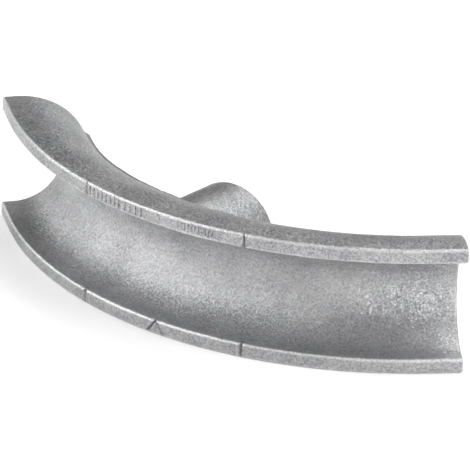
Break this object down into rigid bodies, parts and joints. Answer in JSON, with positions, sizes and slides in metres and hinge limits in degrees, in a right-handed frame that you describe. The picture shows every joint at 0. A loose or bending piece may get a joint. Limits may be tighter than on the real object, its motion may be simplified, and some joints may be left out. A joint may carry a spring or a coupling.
{
  "type": "conduit bending former",
  "caption": "Curved channel-shaped aluminium bending former for a ram-type conduit bender, with a round ram socket and ball detent on its back.",
  "frame": {"origin": "on the axis of the ram socket, in the middle of the former's width, where the socket's guiding bore starts inside its chamfer", "axes": "+Y along the ram socket out of its mouth, away from the groove; +X along the chord of the bend; +Z across the former's width, up when it lies on its side"},
  "size_m": [0.1932, 0.0641, 0.0456],
  "materials": {
    "cast_aluminium": "blasted casting, fine grain",
    "turned_steel": "turned",
    "hardened_steel": "ground",
    "spring_steel": "drawn wire"
  },
  "bodies": {
    "former": {"former_casting": "cast_aluminium", "ram_bush": "turned_steel", "thrust_pad": "hardened_steel", "detent_cup": "turned_steel", "detent_spring": "spring_steel"},
    "ball": {"detent_ball": "hardened_steel"}
  },
  "joints": [
    {"name": "detent_press", "type": "slide", "parent": "former", "child": "ball", "axis": [0, 0, -1], "range_m": [0, 0.0009], "stiffness_N_per_m": 5500, "springref_m": -0.0011, "deforming": ["detent_spring"]}
  ]
}
